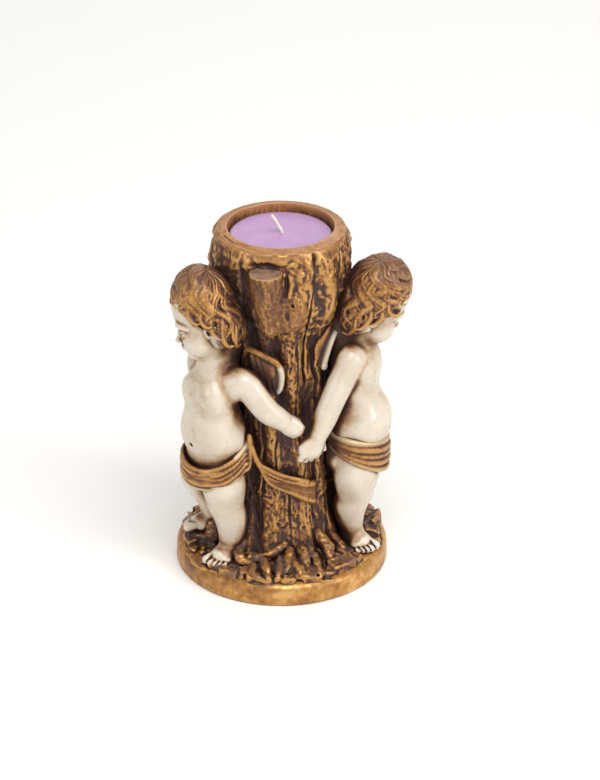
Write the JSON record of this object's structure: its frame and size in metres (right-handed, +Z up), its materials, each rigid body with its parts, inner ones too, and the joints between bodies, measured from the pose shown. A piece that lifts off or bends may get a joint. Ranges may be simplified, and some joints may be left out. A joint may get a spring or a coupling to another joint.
{
  "type": "angel candlestick",
  "caption": "Tree stump tealight holder with three small winged cherubs holding hands round it on a round plinth, and a lift-out tealight.",
  "frame": {"origin": "middle of the resting face, on the surface it stands on", "axes": "+Z up, the sawn branch and the joined hands of the two front cherubs face -Y"},
  "size_m": [0.0914, 0.0873, 0.1474],
  "materials": {
    "ivory_paint": "gloss ivory paint with brown wash in the creases",
    "antique_gold": "antique gold paint rubbed over dark brown",
    "gilded_bark": "dark brown bark, dry-brushed with gold",
    "plinth_gold": "smooth antique gold paint",
    "felt": "pressed felt",
    "tealight_aluminium": "pressed foil, bright",
    "lilac_wax": "smooth poured wax",
    "cotton_wick": "waxed braid"
  },
  "bodies": {
    "candlestick": {"felt_pad": "felt", "plinth": "plinth_gold", "stump": "gilded_bark", "sawn_branch": "gilded_bark", "burl": "gilded_bark", "left_cherub_head": "ivory_paint", "left_cherub_hair": "antique_gold", "left_cherub_torso": "ivory_paint", "left_cherub_left_arm": "ivory_paint", "left_cherub_right_arm": "ivory_paint", "left_cherub_left_leg": "ivory_paint", "left_cherub_left_foot": "ivory_paint", "left_cherub_right_leg": "ivory_paint", "left_cherub_right_foot": "ivory_paint", "left_cherub_loincloth": "antique_gold", "left_cherub_drape_tail": "antique_gold", "left_cherub_left_wing": "gilded_bark", "left_cherub_right_wing": "gilded_bark", "right_cherub_head": "ivory_paint", "right_cherub_hair": "antique_gold", "right_cherub_torso": "ivory_paint", "right_cherub_left_arm": "ivory_paint", "right_cherub_right_arm": "ivory_paint", "right_cherub_left_leg": "ivory_paint", "right_cherub_left_foot": "ivory_paint", "right_cherub_right_leg": "ivory_paint", "right_cherub_right_foot": "ivory_paint", "right_cherub_loincloth": "antique_gold", "right_cherub_drape_tail": "antique_gold", "right_cherub_left_wing": "gilded_bark", "right_cherub_right_wing": "gilded_bark", "rear_cherub_head": "ivory_paint", "rear_cherub_hair": "antique_gold", "rear_cherub_torso": "ivory_paint", "rear_cherub_left_arm": "ivory_paint", "rear_cherub_right_arm": "ivory_paint", "rear_cherub_left_leg": "ivory_paint", "rear_cherub_left_foot": "ivory_paint", "rear_cherub_right_leg": "ivory_paint", "rear_cherub_right_foot": "ivory_paint", "rear_cherub_loincloth": "antique_gold", "rear_cherub_drape_tail": "antique_gold", "rear_cherub_left_wing": "gilded_bark", "rear_cherub_right_wing": "gilded_bark", "root_1": "gilded_bark", "root_2": "gilded_bark", "root_3": "gilded_bark", "root_4": "gilded_bark", "root_5": "gilded_bark", "root_6": "gilded_bark", "rock_1": "gilded_bark", "rock_2": "gilded_bark", "rock_3": "gilded_bark", "rock_4": "gilded_bark", "left_cherub_foot_mound": "gilded_bark"},
    "tealight": {"tealight_cup": "tealight_aluminium", "wax": "lilac_wax", "wick": "cotton_wick", "wick_sustainer": "tealight_aluminium"}
  },
  "joints": [
    {"name": "candle_lift", "type": "slide", "parent": "candlestick", "child": "tealight", "axis": [0, 0, 1], "range_m": [0, 0.03]}
  ]
}
